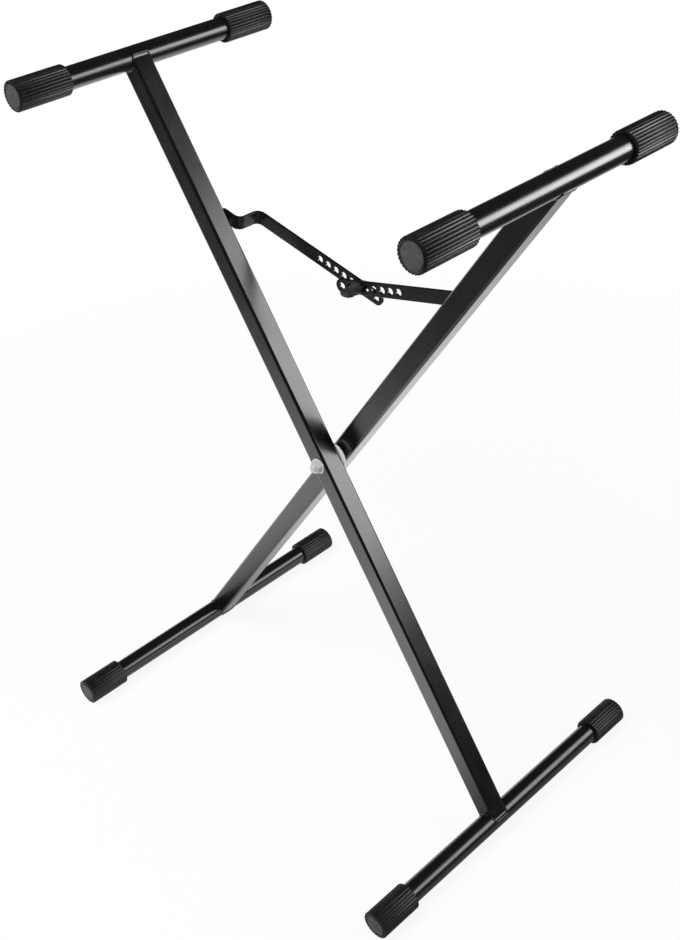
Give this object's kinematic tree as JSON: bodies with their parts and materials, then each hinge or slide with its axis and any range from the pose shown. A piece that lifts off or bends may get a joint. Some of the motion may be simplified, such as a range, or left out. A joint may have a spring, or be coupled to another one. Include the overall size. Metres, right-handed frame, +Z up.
{
  "type": "folding keyboard stand",
  "caption": "Folding X stand for an electronic keyboard: crossed square-tube legs on one bolt, round arms and feet with ribbed rubber caps, and a drilled strap brace clamped by a thumb screw.",
  "frame": {"origin": "on the floor, under the main pivot, midway between the front and rear caps", "axes": "+Z up, +X to the right and +Y to the back as seen from the front; the legs fold in the XZ plane about the pivot bolt, which lies along Y"},
  "size_m": [0.5832, 0.456, 0.8435],
  "materials": {
    "black_powder_coat": "satin black powder coat",
    "black_rubber": "matt black moulded rubber",
    "zinc_plate": "bright zinc plate",
    "white_nylon": "plain white nylon",
    "plain_steel": "turned steel, hidden in the legs",
    "black_steel": "black oxide"
  },
  "bodies": {
    "front_leg": {"front_leg_tube": "black_powder_coat", "left_arm_tube": "black_powder_coat", "left_arm_front_cap": "black_rubber", "left_arm_rear_cap": "black_rubber", "right_foot_tube": "black_powder_coat", "right_foot_front_cap": "black_rubber", "right_foot_rear_cap": "black_rubber", "front_leg_bush": "plain_steel", "white_pivot_washer": "white_nylon", "pivot_spacer": "black_steel", "front_pivot_washer": "zinc_plate", "rear_pivot_washer": "zinc_plate", "pivot_bolt": "zinc_plate", "pivot_cap_nut": "zinc_plate", "long_strap_rivet": "black_steel", "long_strap_spacer": "black_steel"},
    "rear_leg": {"rear_leg_tube": "black_powder_coat", "right_arm_tube": "black_powder_coat", "right_arm_front_cap": "black_rubber", "right_arm_rear_cap": "black_rubber", "left_foot_tube": "black_powder_coat", "left_foot_front_cap": "black_rubber", "left_foot_rear_cap": "black_rubber", "rear_leg_bush": "plain_steel", "short_strap_rivet": "black_steel"},
    "long_strap": {"long_strap": "black_powder_coat", "clamp_cap_nut": "zinc_plate"},
    "short_strap": {"short_strap": "black_powder_coat"},
    "thumb_screw": {"thumb_screw": "black_steel"}
  },
  "joints": [
    {"name": "leg_fold", "type": "hinge", "parent": "front_leg", "child": "rear_leg", "pos_m": [0, 0, 0.41651], "axis": [0, -1, 0], "range_deg": [-14, 58.6]},
    {"name": "long_strap_swing", "type": "hinge", "parent": "front_leg", "child": "long_strap", "pos_m": [-0.16698, 0.003, 0.66575], "axis": [0, -1, 0], "range_deg": [-33.6, 8.2]},
    {"name": "short_strap_swing", "type": "hinge", "parent": "rear_leg", "child": "short_strap", "pos_m": [0.16698, 0.0302, 0.66575], "axis": [0, -1, 0], "range_deg": [-7.6, 31.6]},
    {"name": "thumb_screw_turn", "type": "hinge", "parent": "short_strap", "child": "thumb_screw", "pos_m": [0.01345, 0.0302, 0.62674], "axis": [0, -1, 0], "continuous": true}
  ],
  "couplings": [
    {"joint": "long_strap_swing", "follows": "leg_fold", "ratio": -0.57},
    {"joint": "short_strap_swing", "follows": "leg_fold", "ratio": 0.535}
  ]
}
